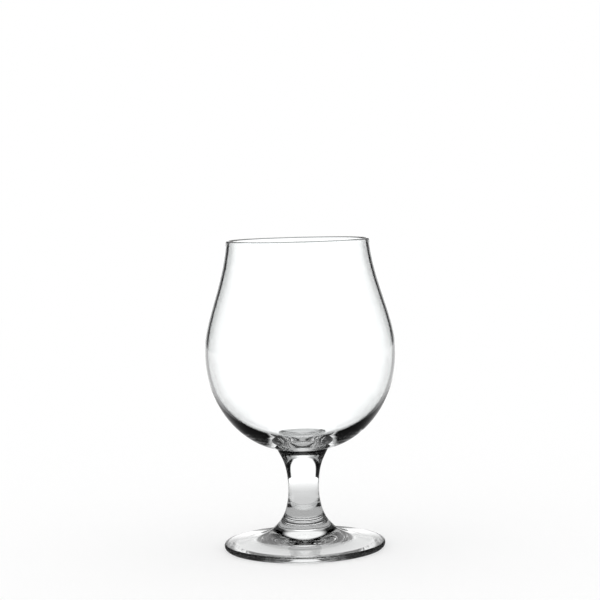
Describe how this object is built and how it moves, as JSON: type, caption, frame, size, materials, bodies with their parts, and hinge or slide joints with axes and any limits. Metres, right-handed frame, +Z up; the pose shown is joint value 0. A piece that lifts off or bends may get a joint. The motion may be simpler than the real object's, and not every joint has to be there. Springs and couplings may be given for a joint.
{
  "type": "stemmed tulip glass",
  "caption": "Clear stemmed drinking glass: round-bellied tulip bowl drawn in to its rim, on a short solid stem with a slim waist and a round foot.",
  "frame": {"origin": "centre of the ring that the foot rests on, in the plane of the table", "axes": "+Z up along the axis of the glass; the glass is a solid of revolution, so X and Y are free"},
  "size_m": [0.089, 0.089, 0.1443],
  "materials": {
    "clear_glass": "clear colourless soda-lime glass, blown and fire-polished, smooth and bright"
  },
  "bodies": {
    "root": {"bowl": "clear_glass", "stem": "clear_glass", "foot": "clear_glass"}
  },
  "joints": []
}
